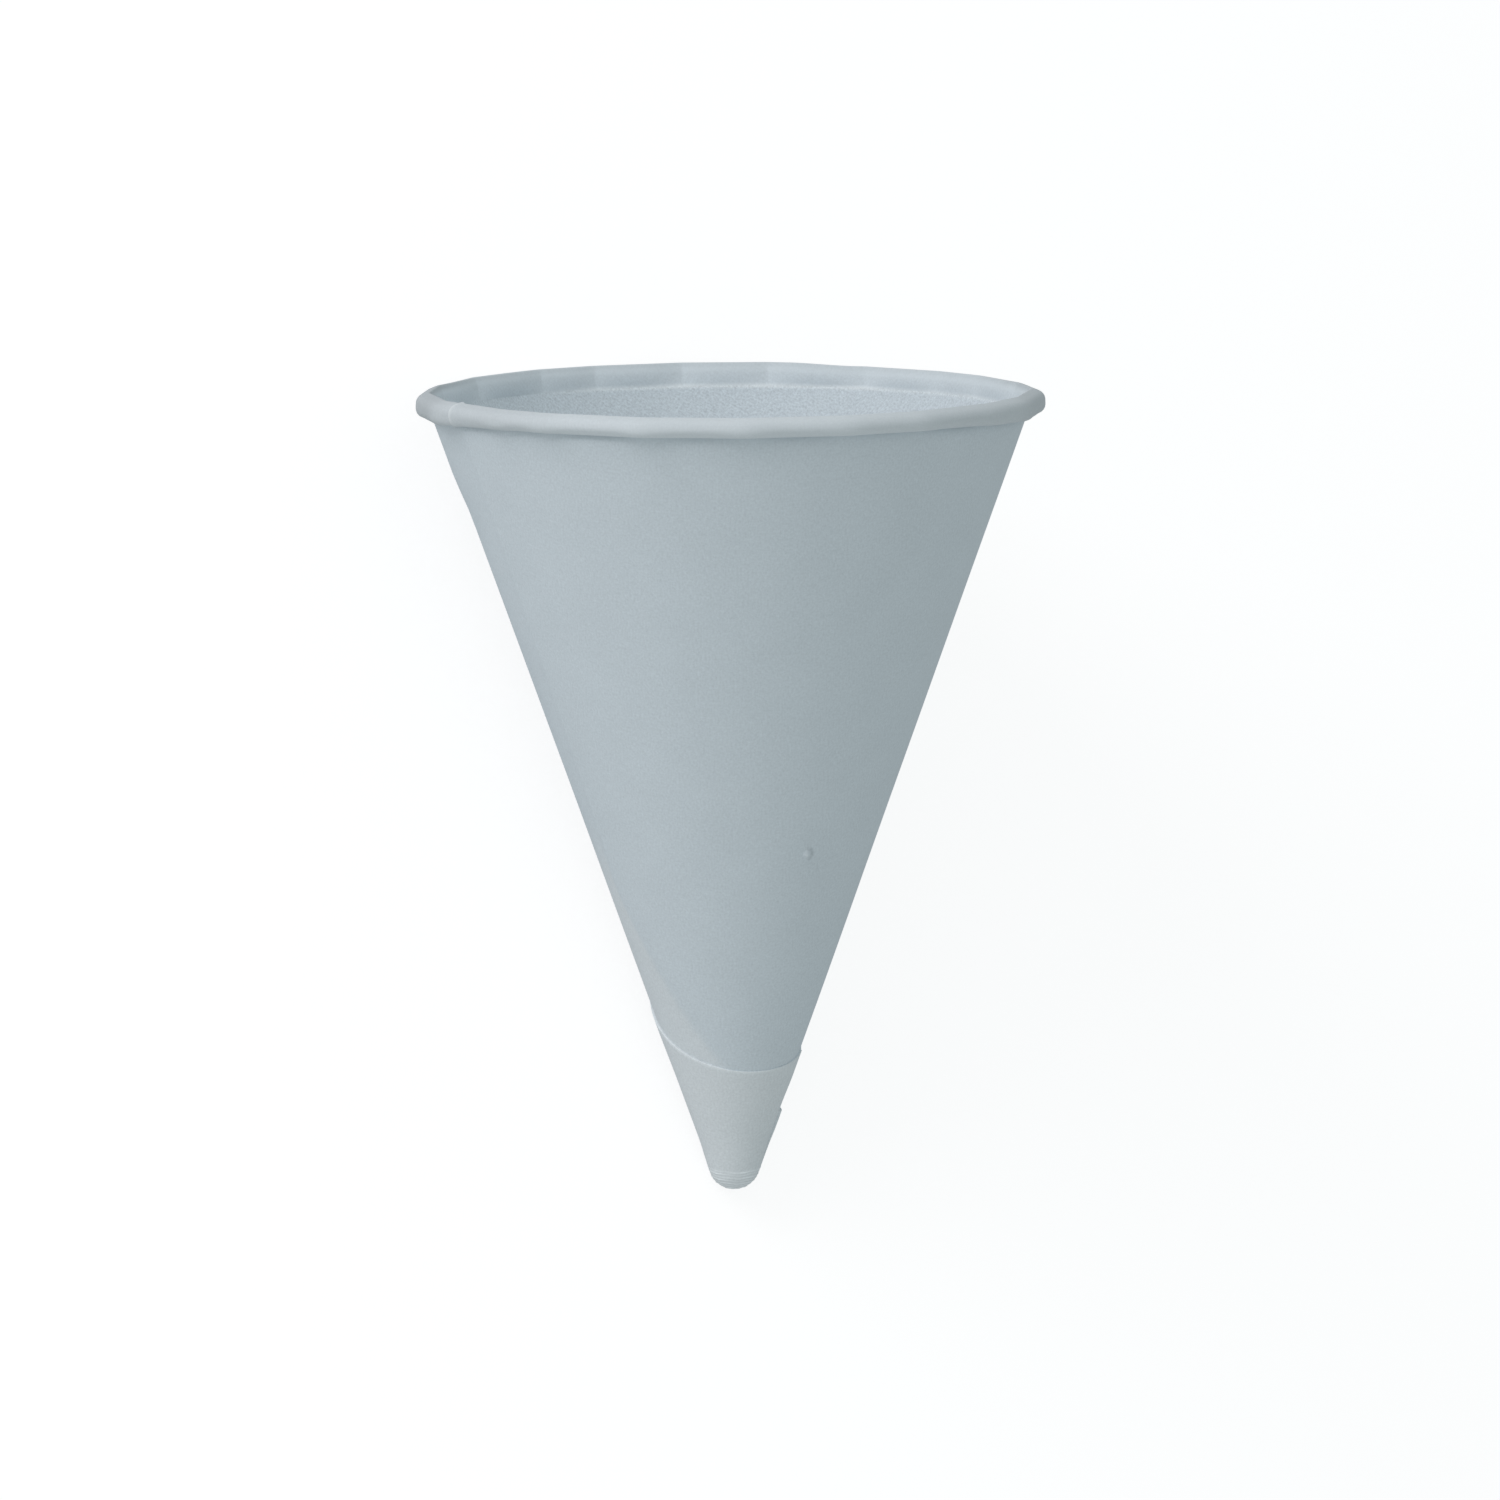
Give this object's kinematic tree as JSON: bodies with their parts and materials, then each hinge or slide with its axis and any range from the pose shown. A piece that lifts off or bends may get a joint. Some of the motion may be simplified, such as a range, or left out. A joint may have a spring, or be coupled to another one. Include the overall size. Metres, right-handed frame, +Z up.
{
  "type": "cone paper cup",
  "caption": "Cone-shaped paper water cup, wound from a flat sheet, with a closed rounded tip and a rolled rim, lying on its side as it comes to rest.",
  "frame": {"origin": "on the floor, under the centre of the cup's box as it lies at rest", "axes": "+Z up, +Y from the tip towards the mouth along the floor, +X to the right as seen from the tip; the cup's front faces up and to the left"},
  "size_m": [0.073, 0.1016, 0.0685],
  "materials": {
    "paper": "matte uncoated paper with a fine grain"
  },
  "bodies": {
    "root": {"cone_cup": "paper"}
  },
  "joints": []
}
